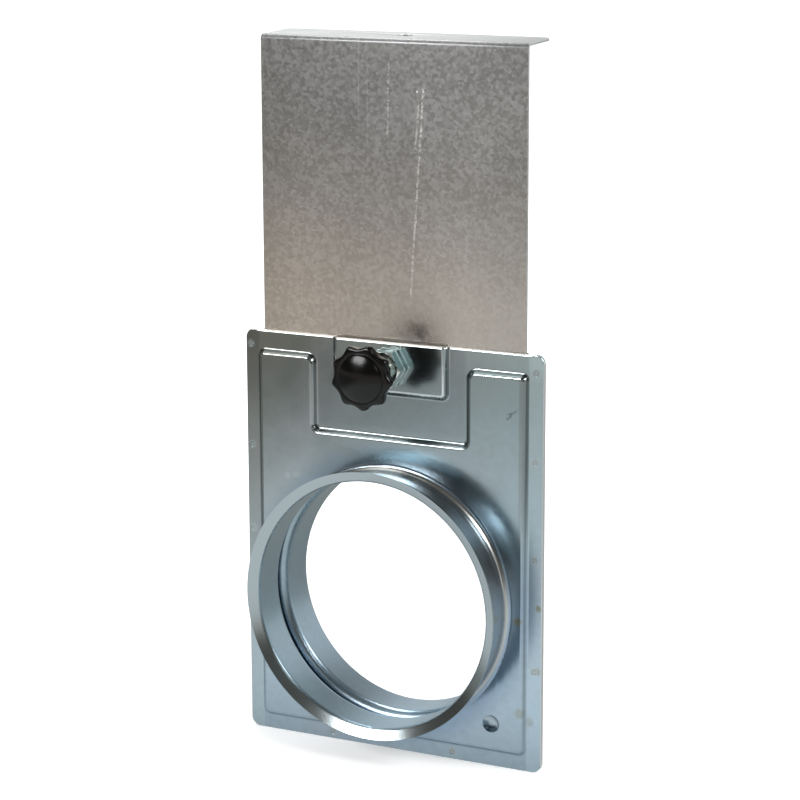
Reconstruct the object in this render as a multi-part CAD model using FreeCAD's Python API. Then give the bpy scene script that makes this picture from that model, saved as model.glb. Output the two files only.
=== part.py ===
import FreeCAD, Part
import math
import os

# Blast gate for a lipped sheet-metal duct: two pressed shells, a slide plate
# between them and a clamp screw with a star knob.
# Millimetres. Z is up, Y runs along the duct with the front towards -Y, and
# the origin is where the duct's axis crosses the plane in which the shells meet.

# Duct collars
duct_radius = 50.0
sheet = 1.0
collar_height = 17.0
collar_base_radius = 3.0
lip_width = 4.4
lip_lean = 26.0
lip_bend_radius = 0.6

# Slide plate, which covers the duct with an overlap all round
plate = 1.0
plate_overlap = 7.5
plate_clearance = 0.2
plate_corner_radius = 5.0
open_margin = 8.1
handle_depth = 22.2
handle_rise = 2.0
handle_bend_radius = 1.0
handle_corner_radius = 4.0
handle_hole_radius = 3.0
handle_hole_setback = 12.4

# Channel that the plate slides in, pressed into the rear shell
channel_side_clearance = 0.5
channel_foot_clearance = 0.2
channel_run = 1.1
channel_bend_radius = 0.8
channel_corner_radius = 5.0

# Flat border where the shells meet, seen from the front
border = 6.4
top_strip = 8.0
top_corner_radius = 3.8
bottom_corner_radius = 4.0

# Raised pocket of the front shell
pocket_rise = 2.0
pocket_run = 1.2
pocket_corner_radius = 2.6
pocket_floor_corner_radius = 3.2
step_crest_radius = 1.6
step_foot_radius = 1.6
slope_wall_inset = 0.5

# Flat bay round the clamp, let into the pocket from above, and its raised pad
bay_above_duct = 14.5
bay_width = 67.0
bay_depth = 38.2
bay_foot_radius = 2.0
bay_mouth_radius = 4.0
pad_width = 50.0
pad_depth = 21.2
pad_corner_radius = 2.6

# Dimple pressed in at the pocket's lower right corner
dimple_radius = 3.6
dimple_depth = 1.4
dimple_inset_x = 20.7
dimple_inset_z = 18.2

# Clamp screw, weld nut and star knob
clamp_drop = 9.9
thread_radius = 4.0
thread_clearance = 0.05
tip_gap = 0.1
tip_chamfer = 0.8
nut_flats = 14.0
nut_height = 6.5
nut_corner_chamfer = 30.0
pilot_radius = 5.2
pilot_height = 0.8
pilot_clearance = 0.05
knob_radius = 12.8
knob_rim = 7.0
knob_front = -30.0
knob_dome = 2.4
knob_face_radius = 9.7
knob_rim_radius = 2.2
knob_lobes = 9
first_lobe_angle = 38.0
flute_radius = 5.0
flute_depth = 1.3
hub_radius = 7.0
hub_length = 9.4
hub_taper = 0.5
hub_root_radius = 1.5
stud_head_radius = 5.5
stud_head_length = 3.0
stud_head_cover = 3.5

# Spot welds through the border
weld_radius = 1.4
weld_dent = 0.15
left_weld_inset = 2.2
left_weld_drops = [6.2, 47.8, 82.7, 124.7]
right_weld_inset = 3.2
right_weld_drops = [7.0, 42.2, 81.2, 126.3]
bottom_weld_places = [27.0]

# Overrun of cutting tools, and how close two levels count as one
beyond = 10.0
tolerance = 1e-4

# Levels along the duct, worked out from the sizes above
border_front = -sheet
pocket_front = border_front - pocket_rise
pocket_back = pocket_front + sheet
plate_front = plate_clearance
plate_back = plate_front + plate
channel_depth = plate + 2 * plate_clearance
channel_back = channel_depth + sheet

# Widths and heights, worked out from the duct outwards
plate_half = duct_radius + plate_overlap
open_foot = duct_radius + open_margin
travel = open_foot + plate_half
half_width = plate_half + channel_side_clearance + channel_run + border
housing_bottom = -(plate_half + channel_foot_clearance + channel_run + border)
bay_floor = duct_radius + bay_above_duct
housing_top = bay_floor + bay_depth
clamp_height = housing_top - clamp_drop
handle_top = housing_top + handle_bend_radius + plate + travel

ALONG = FreeCAD.Vector(0, 1, 0)
UP = FreeCAD.Vector(0, 0, 1)
ORIGIN = FreeCAD.Vector(0, 0, 0)


def corner_points(before, corner, after, radius):
    """Start, middle and end of the arc that rounds a corner of an outline."""
    back = (before - corner).normalize()
    ahead = (after - corner).normalize()
    half = back.getAngle(ahead) / 2
    reach = radius / math.tan(half)
    start = corner + back * reach
    end = corner + ahead * reach
    inward = (back + ahead).normalize()
    middle = corner + inward * (radius / math.sin(half) - radius)
    return start, middle, end


def rounded_wire(corners):
    """Closed wire through (point, radius) corners, with arcs at rounded ones."""
    edges = []
    stretches = []
    count = len(corners)
    for i, (point, radius) in enumerate(corners):
        if radius > 0:
            before = corners[i - 1][0]
            after = corners[(i + 1) % count][0]
            stretches.append(corner_points(before, point, after, radius))
        else:
            stretches.append((point,))
    for i, stretch in enumerate(stretches):
        if len(stretch) == 3:
            edges.append(Part.Arc(*stretch).toShape())
        following = stretches[(i + 1) % count][0]
        if stretch[-1].distanceToPoint(following) > tolerance:
            edges.append(Part.LineSegment(stretch[-1], following).toShape())
    return Part.Wire(edges)


def inset(corners, distance):
    """Corners (x, z, radius), counter-clockwise, with every side moved inwards."""
    moved = []
    count = len(corners)
    for i, (x, z, radius) in enumerate(corners):
        x0, z0, _ = corners[i - 1]
        x1, z1, _ = corners[(i + 1) % count]
        before = FreeCAD.Vector(x - x0, 0, z - z0).normalize()
        after = FreeCAD.Vector(x1 - x, 0, z1 - z).normalize()
        turn = before.x * after.z - before.z * after.x
        side = FreeCAD.Vector(-before.z - after.z, 0, before.x + after.x)
        step = side * (distance / (1 + before.dot(after)))
        change = -distance if turn > 0 else distance
        moved.append((x + step.x, z + step.z, radius + change if radius > 0 else 0))
    return moved


def outline(corners, y):
    """Outline of (x, z, radius) corners as a wire in the plane at y."""
    return rounded_wire([(FreeCAD.Vector(x, y, z), radius) for x, z, radius in corners])


def slab(corners, y_from, y_to):
    """Flat plate with the given outline between two levels."""
    return Part.Face(outline(corners, y_from)).extrude(ALONG * (y_to - y_from))


def step_block(corners, y_foot, y_crest, run):
    """Block with sloping sides that a pressed step encloses."""
    foot = outline(corners, y_foot)
    crest = outline(inset(corners, run), y_crest)
    return Part.makeLoft([foot, crest], True, True)


def turned(corners):
    """Ring made by turning a closed (radius, y, rounding) section about the Y axis."""
    section = rounded_wire([(FreeCAD.Vector(r, y, 0), rounding) for r, y, rounding in corners])
    return Part.Face(section).revolve(ORIGIN, ALONG, 360)


def rod(radius, y_from, y_to, x=0.0, z=0.0):
    """Round bar along Y."""
    return Part.makeCylinder(radius, y_to - y_from, FreeCAD.Vector(x, y_from, z), ALONG)


def edges_at(shape, y):
    """Edges wholly at one level y that are not on the housing's own outline."""
    def level(edge):
        return abs(edge.BoundBox.YMin - y) < tolerance and abs(edge.BoundBox.YMax - y) < tolerance
    return [edge for edge in shape.Edges if level(edge) and within_outline(edge)]


def within_outline(edge):
    """True for edges that touch neither the sides, the bottom nor the top edge's own line."""
    box = edge.BoundBox
    if max(-box.XMin, box.XMax) > half_width - tolerance:
        return False
    return box.ZMin > housing_bottom + tolerance and box.ZMin < housing_top - tolerance


def housing_corners():
    """Outline of the border that both shells share."""
    return [
        (-half_width, housing_bottom, bottom_corner_radius),
        (half_width, housing_bottom, bottom_corner_radius),
        (half_width, housing_top, top_corner_radius),
        (-half_width, housing_top, top_corner_radius),
    ]


def pocket_corners():
    """Foot of the front shell's raised pocket, with the bay let in from above."""
    side = half_width - border
    floor = housing_bottom + border
    ceiling = housing_top - top_strip
    bay_side = bay_width / 2
    return [
        (-side, floor, pocket_floor_corner_radius),
        (side, floor, pocket_floor_corner_radius),
        (side, ceiling, pocket_corner_radius),
        (bay_side, ceiling, bay_mouth_radius),
        (bay_side, bay_floor, bay_foot_radius),
        (-bay_side, bay_floor, bay_foot_radius),
        (-bay_side, ceiling, bay_mouth_radius),
        (-side, ceiling, pocket_corner_radius),
    ]


def open_topped(side, floor, radius):
    """Outline with rounded lower corners that runs out over the top edge."""
    return [
        (-side, floor, radius),
        (side, floor, radius),
        (side, housing_top + beyond, 0),
        (-side, housing_top + beyond, 0),
    ]


def pad_corners():
    """Foot of the raised pad under the nut."""
    return open_topped(pad_width / 2, housing_top - pad_depth, pad_corner_radius)


def channel_corners():
    """Foot of the rear shell's channel for the slide plate."""
    return open_topped(half_width - border, housing_bottom + border, channel_corner_radius)


def trimmed(shape):
    """Shape cut off level with the housing's top edge."""
    corner = FreeCAD.Vector(-half_width, -beyond, housing_top)
    return shape.cut(Part.makeBox(2 * half_width, 2 * beyond, 2 * beyond, corner))


def collar(face, back, out):
    """Drawn collar with its base radius and flared lip.

    face is the level of the shell's outer face there, back that of its inner
    face, and out is the way the collar points along Y.
    """
    lean = math.radians(lip_lean)
    across = math.cos(lean)
    along = math.sin(lean)
    outer = duct_radius + sheet
    root = outer + collar_base_radius + sheet
    wall_end = face + out * collar_height
    lip_radius = duct_radius + lip_width
    lip_end = wall_end + out * lip_width * along / across
    back_slip = sheet / across
    outer_corner = wall_end - out * (back_slip - sheet * along / across)
    return turned([
        (root, back, 0),
        (duct_radius, back, collar_base_radius + sheet),
        (duct_radius, wall_end, lip_bend_radius + sheet),
        (lip_radius, lip_end, 0),
        (lip_radius, lip_end - out * back_slip, 0),
        (outer, outer_corner, lip_bend_radius),
        (outer, face, collar_base_radius),
        (root, face, 0),
    ])


def collar_opening():
    """Bar that clears the shell's plate for its collar."""
    root = duct_radius + collar_base_radius + 2 * sheet
    return rod(root, -beyond, beyond)


def weld_places():
    """Centres (x, z) of the spot welds along the border."""
    floor = housing_bottom + border / 2
    places = [(left_weld_inset - half_width, housing_top - drop) for drop in left_weld_drops]
    places += [(half_width - right_weld_inset, housing_top - drop) for drop in right_weld_drops]
    places += [(sign * x, floor) for x in bottom_weld_places for sign in (-1, 1)]
    return places


def weld_bars(y_from, y_to):
    return [rod(weld_radius, y_from, y_to, x, z) for x, z in weld_places()]


def dimple_cap(face):
    """Low spherical cap that is pressed in from a face, towards the plate."""
    x = half_width - dimple_inset_x
    z = housing_bottom + dimple_inset_z
    ball = (dimple_radius ** 2 + dimple_depth ** 2) / (2 * dimple_depth)
    centre = FreeCAD.Vector(x, face + dimple_depth - ball, z)
    return Part.makeSphere(ball, centre).common(rod(dimple_radius, face, face + beyond, x, z))


def front_shell():
    block = slab(housing_corners(), border_front, 0)
    block = block.fuse([
        step_block(pocket_corners(), border_front, pocket_front, pocket_run),
        step_block(pad_corners(), border_front, pocket_front, pocket_run),
    ])
    block = trimmed(block).removeSplitter()
    block = block.makeFillet(step_crest_radius, edges_at(block, pocket_front))
    block = block.makeFillet(step_foot_radius, edges_at(block, border_front))
    hollows = [
        step_block(inset(corners, slope_wall_inset), 0, pocket_back, pocket_run)
        for corners in (pocket_corners(), pad_corners())
    ]
    shell = block.cut(hollows + [collar_opening()])
    shell = shell.fuse([collar(pocket_front, pocket_back, -1), dimple_cap(pocket_back)])
    shell = shell.cut(dimple_cap(pocket_front))
    shell = shell.cut(rod(pilot_radius + pilot_clearance, -beyond, beyond, 0, clamp_height))
    shell = shell.cut(weld_bars(-beyond, beyond))
    return shell.removeSplitter()


def rear_shell():
    block = slab(housing_corners(), 0, sheet)
    block = block.fuse(step_block(channel_corners(), sheet, channel_back, channel_run))
    block = trimmed(block).removeSplitter()
    block = block.makeFillet(channel_bend_radius, edges_at(block, channel_back))
    hollow = step_block(channel_corners(), 0, channel_depth, channel_run)
    shell = block.cut([hollow, collar_opening()])
    shell = shell.fuse(collar(channel_back, channel_depth, 1))
    shell = shell.cut(weld_bars(-beyond, beyond))
    return shell.removeSplitter()


def slide_plate():
    """Plate with its top bent back as a handle, drawn up to its open position.

    The handle rises a little towards its free edge. Closed, the plate has come
    down by the travel: its foot then covers the duct, and its bend starts level
    with the housing's top edge.
    """
    rise = math.radians(handle_rise)
    out = FreeCAD.Vector(0, math.cos(rise), math.sin(rise))
    normal = FreeCAD.Vector(0, -math.sin(rise), math.cos(rise))
    bend = FreeCAD.Vector(-plate_half, plate_front, handle_top)
    under_bend = bend - normal * plate + out * (plate * (1 - math.sin(rise)) / math.cos(rise))
    end = bend + out * handle_depth
    section = rounded_wire([
        (FreeCAD.Vector(-plate_half, plate_front, open_foot), 0),
        (FreeCAD.Vector(-plate_half, plate_back, open_foot), 0),
        (under_bend, handle_bend_radius),
        (end - normal * plate, 0),
        (end, 0),
        (bend, handle_bend_radius + plate),
    ])
    bent = Part.Face(section).extrude(FreeCAD.Vector(2 * plate_half, 0, 0))
    thin = [edge for edge in bent.Edges if edge.BoundBox.XLength < tolerance]
    bottom = [edge for edge in thin if edge.BoundBox.ZMax < open_foot + tolerance]
    bent = bent.makeFillet(plate_corner_radius, bottom)
    thin = [edge for edge in bent.Edges if edge.BoundBox.XLength < tolerance]
    tips = [edge for edge in thin if edge.BoundBox.YMin > end.y - tolerance]
    bent = bent.makeFillet(handle_corner_radius, tips)
    under_hole = FreeCAD.Vector(0, bend.y, bend.z) + out * handle_hole_setback - normal * beyond
    return bent.cut(Part.makeCylinder(handle_hole_radius, 2 * beyond, under_hole, normal))


def weld_nut():
    """Hexagon nut with chamfered corners and a round pilot in the pad's hole."""
    corner = nut_flats / math.sqrt(3)
    nut_front = pocket_front - nut_height
    points = []
    for i in range(7):
        angle = math.pi * i / 3
        points.append(FreeCAD.Vector(corner * math.cos(angle), nut_front, corner * math.sin(angle)))
    prism = Part.Face(Part.makePolygon(points)).extrude(ALONG * nut_height)
    drop = (corner - nut_flats / 2) * math.tan(math.radians(nut_corner_chamfer))
    tapered = turned([
        (0, nut_front, 0),
        (nut_flats / 2, nut_front, 0),
        (corner, nut_front + drop, 0),
        (corner, pocket_front - drop, 0),
        (nut_flats / 2, pocket_front, 0),
        (0, pocket_front, 0),
    ])
    nut = prism.common(tapered)
    nut = nut.fuse(rod(pilot_radius, pocket_front, pocket_front + pilot_height))
    nut = nut.cut(rod(thread_radius + thread_clearance, nut_front - beyond, beyond))
    nut.translate(UP * clamp_height)
    return nut.removeSplitter()


def stud_head_front():
    return knob_front + stud_head_cover


def clamp_stud():
    """Screw with a chamfered tip and a head that is held inside the knob."""
    tip = plate_front - tip_gap
    head_back = stud_head_front() + stud_head_length
    stud = turned([
        (0, tip, 0),
        (thread_radius - tip_chamfer, tip, 0),
        (thread_radius, tip - tip_chamfer, 0),
        (thread_radius, head_back, 0),
        (stud_head_radius, head_back, 0),
        (stud_head_radius, stud_head_front(), 0),
        (0, stud_head_front(), 0),
    ])
    stud.translate(UP * clamp_height)
    return stud


def star_knob():
    """Fluted knob with a domed face and a tapered hub."""
    rim_back = knob_front + knob_rim
    hub_back = rim_back + hub_length
    ball = (knob_face_radius ** 2 + knob_dome ** 2) / (2 * knob_dome)
    shoulder = knob_front + knob_dome
    body = turned([
        (0, shoulder, 0),
        (knob_radius, shoulder, knob_rim_radius),
        (knob_radius, rim_back, knob_rim_radius),
        (hub_radius, rim_back, hub_root_radius),
        (hub_radius - hub_taper, hub_back, 0),
        (0, hub_back, 0),
    ])
    dome = Part.makeSphere(ball, FreeCAD.Vector(0, knob_front + ball, 0))
    dome = dome.common(rod(knob_face_radius, knob_front - beyond, shoulder))
    body = body.fuse(dome)
    flute_place = knob_radius - flute_depth + flute_radius
    for i in range(knob_lobes):
        angle = math.radians(first_lobe_angle) + 2 * math.pi * (i + 0.5) / knob_lobes
        x = flute_place * math.cos(angle)
        z = flute_place * math.sin(angle)
        body = body.cut(rod(flute_radius, knob_front - beyond, rim_back + beyond, x, z))
    head_front = stud_head_front() - thread_clearance
    head_back = stud_head_front() + stud_head_length + thread_clearance
    body = body.cut(rod(thread_radius + thread_clearance, head_front, hub_back + beyond))
    body = body.cut(rod(stud_head_radius + thread_clearance, head_front, head_back))
    body.translate(UP * clamp_height)
    return body.removeSplitter()


def spot_welds():
    """Weld nuggets that fill the border's holes, slightly dented on both faces."""
    return Part.makeCompound(weld_bars(border_front + weld_dent, sheet - weld_dent))


parts = {
    "front_shell": front_shell,
    "rear_shell": rear_shell,
    "slide_plate": slide_plate,
    "weld_nut": weld_nut,
    "clamp_stud": clamp_stud,
    "star_knob": star_knob,
    "spot_welds": spot_welds,
}

os.makedirs("parts", exist_ok=True)
for name, make in parts.items():
    make().exportStep(f"parts/{name}.step")
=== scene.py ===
import math

import bmesh
import bpy
from mathutils import Matrix, Vector


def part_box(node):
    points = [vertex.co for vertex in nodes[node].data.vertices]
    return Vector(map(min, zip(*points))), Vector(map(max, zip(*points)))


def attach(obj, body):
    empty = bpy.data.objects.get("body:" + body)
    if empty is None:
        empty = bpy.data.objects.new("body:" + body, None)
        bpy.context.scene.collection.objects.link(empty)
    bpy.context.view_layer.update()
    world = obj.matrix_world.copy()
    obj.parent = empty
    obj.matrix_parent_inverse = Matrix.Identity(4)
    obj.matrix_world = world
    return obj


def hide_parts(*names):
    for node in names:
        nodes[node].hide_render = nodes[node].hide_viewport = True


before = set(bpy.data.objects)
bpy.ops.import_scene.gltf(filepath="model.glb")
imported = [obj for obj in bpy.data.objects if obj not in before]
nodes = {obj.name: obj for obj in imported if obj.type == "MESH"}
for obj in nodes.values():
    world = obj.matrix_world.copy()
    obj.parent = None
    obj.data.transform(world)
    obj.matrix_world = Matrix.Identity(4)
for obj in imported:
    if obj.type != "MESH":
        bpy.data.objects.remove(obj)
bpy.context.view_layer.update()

# Blast gate: metres, Z up, Y along the duct with the front towards -Y.
# The gate stands on its lower edge on a pale floor, lit by soft boxes round it.

MM = 0.001

# Camera
CAMERA_PLACE = (0.4559, -0.8895, 0.2983)
CAMERA_RIGHT = (0.89159, 0.45284, -0.00274)
CAMERA_UP = (-0.09465, 0.19225, 0.97677)
CAMERA_BACK = (0.44285, -0.87062, 0.21427)
CAMERA_LENS = 117.05
CAMERA_REACH = 100.0
SENSOR = 36.0

# Soft boxes: name, place, width, height, radiance, colour
LIGHT_AIM = (0.0, 0.0, 0.04)
BOXES = [
    ("key", (-0.558, -1.027, 0.690), 0.56, 0.38, 8.5, (1.0, 1.0, 1.0)),
    ("right", (0.93, 0.05, 0.80), 0.95, 0.35, 6.0, (1.0, 1.0, 1.0)),
    ("window", (0.435, -1.13, 0.50), 0.30, 0.30, 1.0, (0.78, 0.92, 1.0)),
    ("top", (-0.54, 0.54, 1.12), 0.60, 0.45, 4.5, (1.0, 1.0, 1.0)),
    ("ceiling", (-0.50, -0.20, 1.22), 0.60, 0.80, 1.0, (1.0, 1.0, 0.97)),
]

# Room that the metal mirrors, by direction: pale low down behind the gate, dark elsewhere
WHITE = (1.0, 1.0, 1.0, 1.0)
ROOM_DARK = (0.072, 0.068, 0.058, 1.0)
ROOM_REAR = (0.74, 0.76, 0.76, 1.0)
REAR_BEGINS = (-0.25, 0.10)
REAR_FADES_UP = (0.40, 0.62, 1.0, 0.15)
AMBIENT = 0.30

# Floor, and how far out from the middle it is lifted to white for the camera
FLOOR_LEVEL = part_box("front_shell")[0].z
FLOOR_SIZE = 16.0
FLOOR_PALE = (0.88, 0.88, 0.88, 1)
FLOOR_LIFT = (0.16, 0.60, 0.42, 1.0)

# Floor that the metal mirrors: lit and dim parts by place, in metres
MIRRORED_DIM = (0.20, 0.21, 0.20, 1)
MIRRORED_LIT = (0.93, 0.96, 0.97, 1)
MIRRORED_FAR = (0.60, 0.54, 0.47, 1)
LIT_FROM_LEFT = (-0.38, -0.20)
LIT_TO_RIGHT = (0.10, 0.45, 1.0, 0.62)
LIT_IN_FRONT = (-0.68, -0.36, 0.50, 0.87)
BEHIND_GATE = (-0.10, 0.05)
LIT_BEHIND = 0.26
FAR_IN_FRONT = (-0.76, -0.90)

# Clamp screw and knob: levels along the duct, and the screw's real thread
CLAMP_HEIGHT = sum(corner.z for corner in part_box("weld_nut")) / 2
KNOB_DEPTH = 16.4 * MM
HUB_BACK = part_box("star_knob")[1].y
KNOB_FRONT = HUB_BACK - KNOB_DEPTH
SCREW_IN_HUB = 2.0 * MM
SCREW_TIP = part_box("clamp_stud")[1].y
THREAD_RADIUS = 3.98 * MM
THREAD_DEPTH = 0.62 * MM
THREAD_PITCH = 1.25 * MM
THREAD_STARTS = HUB_BACK - 3.0 * MM
THREAD_TURNS = 14
THREAD_STEPS = 28

# Knob: rings (mm behind its front, radius in mm), how far the lobes stand out at a ring,
# how the knob is turned, and how near a lobe's middle a point is to move with it, in degrees
KNOB_RINGS = [
    (0.05, 2.4), (0.72, 5.5), (1.60, 8.1), (2.10, 9.2), (2.42, 9.55), (2.62, 9.75), (2.45, 9.98),
    (2.60, 10.9), (3.10, 11.5), (4.60, 11.55), (6.20, 11.5), (6.75, 11.2), (6.98, 10.6),
    (7.05, 8.4), (7.3, 7.3), (8.2, 6.95), (15.9, 6.62), (16.35, 6.5), (16.4, 6.2), (16.4, 4.4),
    (14.6, 4.35),
]
KNOB_LOBE_PUSH = [
    (2.60, 1.11), (3.10, 1.20), (4.60, 1.22), (6.20, 1.20), (6.75, 1.17), (6.98, 1.08),
]
KNOB_LOBES = 9
KNOB_RIM = 10.2 * MM
KNOB_TURN = 38.0
KNOB_SMOOTHING = 3
LOBE_MIDDLE = 6.0

# Housing's outline, and how the press rounds its cut edges; angles in degrees, and how much
# of a normal points along the duct at most on a cut and at least on a face
TOP_CORNER = 3.8 * MM
BOTTOM_CORNER = 4.0 * MM
SHEARED_EDGE = 0.42 * MM
SHEARED_TOP = 0.75 * MM
SHEARED_SEGMENTS = 3
SHEARED_CORNER = 60.0
SHELL_CREASE = 34.0
CUT_FACING = 0.1
FACE_FACING = 0.5
FLAT_FACE_WEIGHT = 100

# Slide plate's cut edges, with angles in degrees
PLATE_EDGE = 0.22 * MM
PLATE_EDGE_SEGMENTS = 2
PLATE_CORNER = 40.0
PLATE_CREASE = 35.0
SAME_PLANE = 0.5

# Points nearer than these are one point, lie on one level or lie on the outline
ONE_POINT = 0.001 * MM
ONE_LEVEL = 0.01 * MM
ON_LINE = 0.02 * MM

# Zinc of the pressed shells
SHELL_BLUE = (0.47, 0.60, 0.70, 1)
SHELL_TOP_LEFT = (0.41, 0.43, 0.40, 1)
SHELL_TOP_RIGHT = (0.39, 0.48, 0.50, 1)
SHELL_ROSE = (0.50, 0.52, 0.60, 1)
SHELL_CRYSTAL = (0.30, 0.35, 0.36, 1)
SHELL_WALL = (0.69, 0.67, 0.63, 1)
SHELL_LIP = (0.45, 0.515, 0.54, 1)
SHELL_STAIN = (0.33, 0.32, 0.22, 1)
SHELL_NICK = (0.20, 0.24, 0.24, 1)
SHELL_SCUFF = (0.75, 0.78, 0.78, 1)
SHELL_WELD_RING = (0.80, 0.86, 0.86, 1)
SHELL_FLECK = (0.86, 0.89, 0.90, 1)
# Bare cut edges, painted pale as their highlight line
SHELL_CUT_HIGHLIGHT = (0.93, 0.95, 0.94, 1)
# Painted highlight on the dimple's lit floor
SHELL_DIMPLE_LIT = (0.70, 0.80, 0.87, 1)
# Painted highlight along the pad's crest
SHELL_PAD_HIGHLIGHT = (0.80, 0.85, 0.86, 1)

# Tints by which the shells' colour is multiplied in some regions
TINT_INSIDE = (0.85, 0.91, 0.93, 1)
# Painted shade: a bluish halo round the collar's foot, where the flat face mirrors the collar
TINT_HALO_SHADE = (0.69, 0.75, 0.85, 1)
# Painted highlight over the collar, inside the halo
TINT_COLLAR_HIGHLIGHT = (1.30, 1.34, 1.36, 1)
# Painted shade in the foot of the pressed steps, dimming their highlight there
TINT_FOOT_SHADE = (0.45, 0.46, 0.45, 1)
# Darker, browner band along the pocket's right step
TINT_RIGHT_STEP = (0.82, 0.77, 0.74, 1)
TINT_STRIP_LEFT = (0.90, 0.91, 0.90, 1)
TINT_STRIP_RIGHT = (1.26, 1.27, 1.27, 1)
TINT_BAY = (0.85, 0.85, 0.86, 1)
TINT_LEFT_LOW = (1.14, 1.13, 1.12, 1)
TINT_LEFT_HIGH = (0.86, 0.85, 0.85, 1)
TINT_BORDER_LOW = (1.17, 1.13, 1.08, 1)
TINT_BORDER_HIGH = (0.68, 0.66, 0.66, 1)
TINT_BORDER_RIGHT = (1.20, 1.20, 1.20, 1)
TINT_DIMPLE_SHADE = (0.30, 0.36, 0.40, 1)

# Where the shells' tints begin and end, in millimetres. Two numbers: where a tint begins or
# fades, and where it is full or gone. Four numbers: begins, full, fades, gone.
TONE_UP = (-60.0, 100.0)
TONE_ACROSS = (-65.0, 65.0)
BORE_RADIUS = (50.4, 50.7)
SHEET_BACK = (-0.9, 0.1)
COLLAR_OUT = (-3.1, -4.0)
LIP_OUT = (-18.6, -19.4)
# Halo of painted shade round the collar
HALO_RADIUS = (54.0, 66.0)
GLOW_RADIUS = (3.0, 9.0)
# Painted shade in the foot of the pressed steps
FOOT_LEVEL = (-2.1, -1.8, -1.2, -1.05)
FOOT_UP = (20.0, 66.0)
STRIP_UP = (90.0, 101.0)
PAD_BESIDE = (24.0, 25.5)
PAD_UP = (81.5, 83.0)
BAY_BESIDE = (31.0, 34.0)
BAY_UP = (64.0, 69.0)
LEFT_ACROSS = (-38.0, -28.0)
LEFT_UP = (5.0, 40.0)
LEFT_TONE_UP = (62.0, 88.0)
BORDER_BESIDE = (58.5, 60.0)
# Band along the pocket's right step
RIGHT_STEP_ACROSS = (55.8, 56.4, 58.4, 59.4)
RIGHT_STEP_UP = (15.0, 60.0, 93.5, 95.5)
CUT_UNDER_TOP = (0.55, 0.35)
CUT_FROM_SIDE = (0.28, 0.15)
# Painted highlight along the pad's crest
CREST_BESIDE = (26.0, 27.0)
CREST_UP = (80.0, 81.0, 86.0, 101.0)
CREST_LEVEL = (-2.99, -2.94, -2.80, -2.60)

# Painted highlight over the collar: its middle in millimetres, and how it is squeezed across
GLOW_PLACE = (6.0, 60.0)
GLOW_SQUEEZE = 0.45

# Dimple: its middle, how its painted light leans, and the radii and heights of its painted tones, in
# millimetres
DIMPLE = (44.8, -47.0)
DIMPLE_LEAN = 0.45
DIMPLE_FLOOR = (3.2, 3.7)
DIMPLE_FLOOR_UP = (-0.6, 0.4)
DIMPLE_SHADE = (1.0, 1.9, 3.2, 3.8)
DIMPLE_SHADE_DOWN = (-1.2, 0.6)
DIMPLE_SATIN = (3.4, 4.4)

# How much of a colour comes through its mask
WALL_SHARE = 0.7
FOOT_LOW_SHARE = 0.25
FLECK_SHARE = 0.5
DIMPLE_SHARE = 0.6

# Marks on the shells: x, z, size in millimetres, and strength
SHELL_STAINS = [
    (56.0, -3.5, 2.4, 0.85), (63.6, -23.4, 2.2, 0.60), (57.0, -41.0, 3.0, 0.42),
    (60.5, -44.5, 2.6, 0.35), (64.0, 2.3, 1.8, 0.80),
]
SHELL_SCUFFS = [(-46.0, 44.0, 2.0, 0.25), (-42.0, 45.0, 2.2, 0.20)]
MARK_UNEVEN = 0.9

# Paler zinc round each spot weld at x, z, in millimetres
SHELL_WELDS = [
    (-63.3, 96.5), (-63.3, 54.9), (-63.3, 20.0), (-63.3, -22.0), (-27.0, -62.0),
    (62.3, 95.7), (62.3, 60.5), (62.3, 21.5), (62.3, -23.6), (27.0, -62.0),
]
WELD_RING_SIZE = 2.3
WELD_RING_STRENGTH = 0.35

# Two crossing strokes of a nick, each from x, z to x, z in millimetres
SHELL_NICKS = [((50.2, 76.0), (56.4, 81.9)), ((50.6, 78.2), (54.2, 80.0))]
NICK_WAVER = 0.30

# The shells' roughness by region, each laid over those before it, and their relief in metres
SHELL_ROUGHNESS = [("pad", 0.18), ("border", 0.30), ("collar", 0.26), ("lip", 0.19), ("satin", 0.30)]
LINE_ROUGHNESS = 0.04
# How much less metallic the pad crest's painted highlight is
HIGHLIGHT_LESS_METAL = 0.6
SHELL_BUMP = 0.00022
SHELL_GRAIN_SHARE = 0.005

# Zinc of the slide plate: crystals from dark to light, warm at the lower left
PLATE_DARK = (0.43, 0.42, 0.40, 1)
PLATE_LIGHT = (0.64, 0.62, 0.59, 1)
PLATE_DARK_WARM = (0.80, 0.71, 0.63, 1)
PLATE_LIGHT_WARM = (0.94, 0.84, 0.75, 1)
PLATE_DARK_SPOT = (0.22, 0.21, 0.19, 1)
PLATE_SCRATCH = (0.88, 0.88, 0.87, 1)
PLATE_FLECK = (0.95, 0.94, 0.92, 1)
# Painted highlight: pale on the handle and the plate's cut sides
PLATE_PALE_SHEEN = (0.73, 0.745, 0.735, 1)
TINT_UPPER = (0.74, 0.76, 0.80, 1)
TINT_TOP = (0.85, 0.86, 0.87, 1)
# Painted shade down the plate's middle, evening out the key light's reflection
TINT_MIDDLE_SHADE = (0.84, 0.84, 0.84, 1)
TINT_BRIGHT_CORNER = (1.16, 1.16, 1.16, 1)

# Where the plate's tints begin and end, in millimetres
PLATE_TONE_UP = (95.0, 200.0)
PLATE_TONE_LEFT = (-60.0, 45.0)
UPPER_UP = (118.0, 166.0)
TOP_UP = (166.0, 210.0)
MIDDLE_PLACE = -5.0
MIDDLE_BESIDE = (6.0, 42.0)
CORNER_ACROSS = (10.0, 50.0)
CORNER_UP = (150.0, 205.0)
FRONT_FACE = (0.3, 0.6)
HANDLE_BACK = (1.4, 2.4)
PLATE_SIDE = (0.20, 0.08)

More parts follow.
